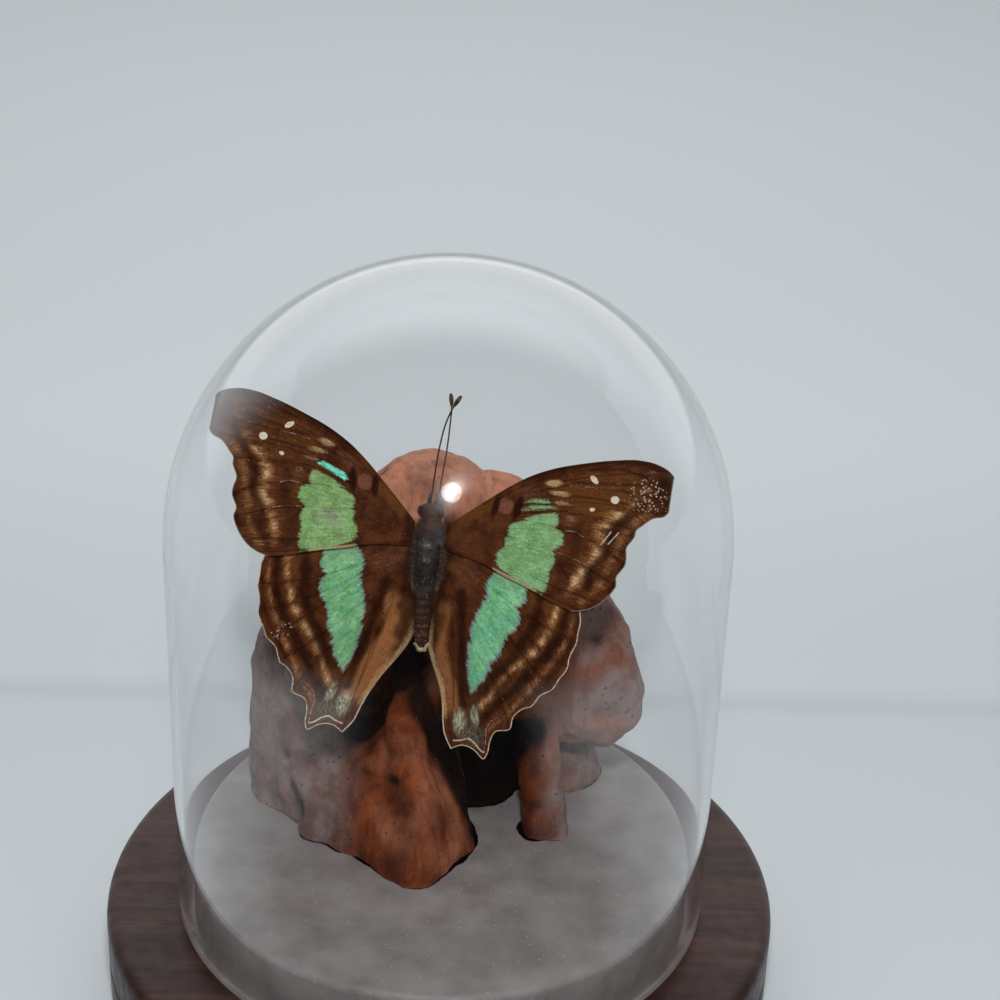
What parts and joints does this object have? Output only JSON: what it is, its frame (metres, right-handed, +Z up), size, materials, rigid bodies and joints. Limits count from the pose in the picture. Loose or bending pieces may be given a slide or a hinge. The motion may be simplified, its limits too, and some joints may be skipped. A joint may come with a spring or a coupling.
{
  "type": "insect in glass dome",
  "caption": "Spread butterfly with banded wings on a lobed piece of driftwood, under a round-topped glass dome on a turned dark wood base.",
  "frame": {"origin": "centre of the base's flat underside, which the part stands on", "axes": "+Z up through the dome, -Y towards the viewer, whom the butterfly's back faces, +X to the viewer's right"},
  "size_m": [0.1144, 0.1144, 0.1308],
  "materials": {
    "mahogany": "dark stained and varnished, satin",
    "clear_glass": "clear, blown, polished",
    "driftwood": "smooth reddish brown, waxed, dark in the hollows",
    "insect_body": "dry, hairy, matt",
    "wing_scales": "powdery scales, iridescent green band"
  },
  "bodies": {
    "root": {"base": "mahogany", "glass_dome": "clear_glass", "driftwood_stem": "driftwood", "driftwood_left_limb": "driftwood", "driftwood_right_limb": "driftwood", "butterfly_body": "insect_body", "antenna_left": "insect_body", "antenna_right": "insect_body", "forewing_left": "wing_scales", "hindwing_left": "wing_scales", "forewing_right": "wing_scales", "hindwing_right": "wing_scales"}
  },
  "joints": []
}
